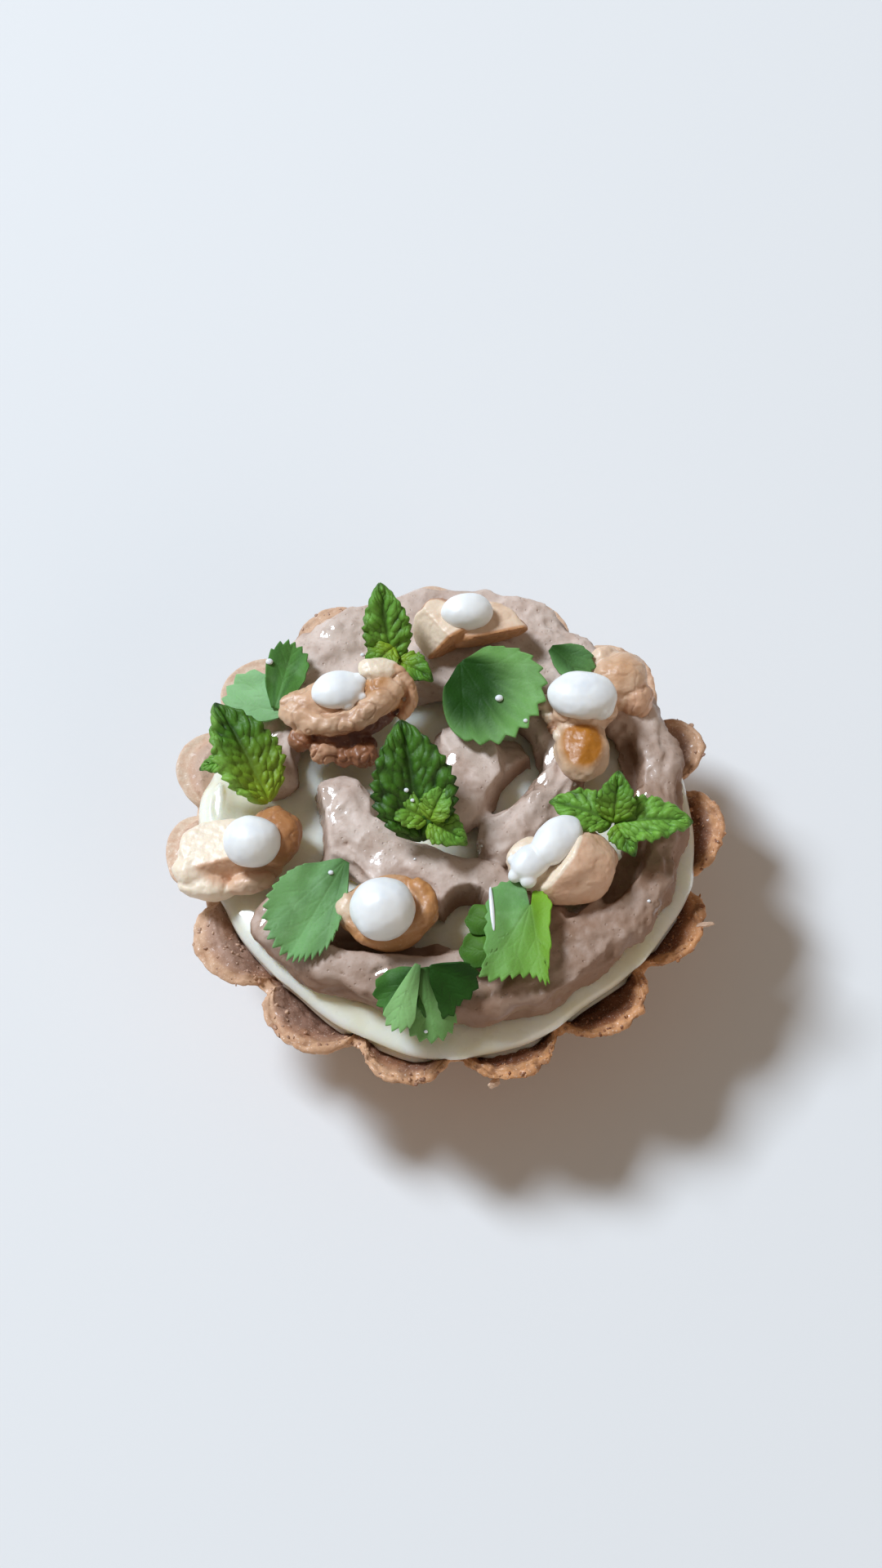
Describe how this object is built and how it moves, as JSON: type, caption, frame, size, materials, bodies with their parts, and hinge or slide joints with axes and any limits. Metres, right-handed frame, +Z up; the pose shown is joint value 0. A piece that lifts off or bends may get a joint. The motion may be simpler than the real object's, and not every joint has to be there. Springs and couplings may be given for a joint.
{
  "type": "custard tartlet",
  "caption": "Small fluted shortcrust tartlet filled with pale custard cream, piped with nut mousse and set with walnut pieces, white cream drops and fresh herb leaves.",
  "frame": {"origin": "middle of the flat underside of the pastry shell", "axes": "+Z up through the filling, -Y towards the viewer in the picture, +X to the viewer's right"},
  "size_m": [0.0754, 0.0757, 0.0376],
  "materials": {
    "crust": "baked shortcrust, matt and crumbly, darker on the walls and paler on the rim",
    "cream": "set custard cream, smooth, glossy, ivory",
    "mousse": "piped nut mousse, mauve brown, satin to wet, with fine air holes",
    "walnut": "toasted walnut, tan skin and ivory flesh, satin",
    "drop": "smooth white cream drop, glossy",
    "mint": "fresh mint leaf, quilted, satin",
    "coriander": "fresh coriander leaf, thin and smooth, satin"
  },
  "bodies": {
    "root": {"crust": "crust", "cream": "cream", "mousse": "mousse", "walnut_1": "walnut", "walnut_2": "walnut", "walnut_3": "walnut", "walnut_4": "walnut", "walnut_5": "walnut", "walnut_6": "walnut", "drop_1": "drop", "drop_2": "drop", "drop_3": "drop", "drop_4": "drop", "drop_5": "drop", "drop_6": "drop", "coriander_1": "coriander", "coriander_2": "coriander", "coriander_3": "coriander", "coriander_4": "coriander", "coriander_5": "coriander", "coriander_6": "coriander", "mint_1": "mint", "mint_2": "mint", "mint_3": "mint", "mint_4": "mint"}
  },
  "joints": []
}
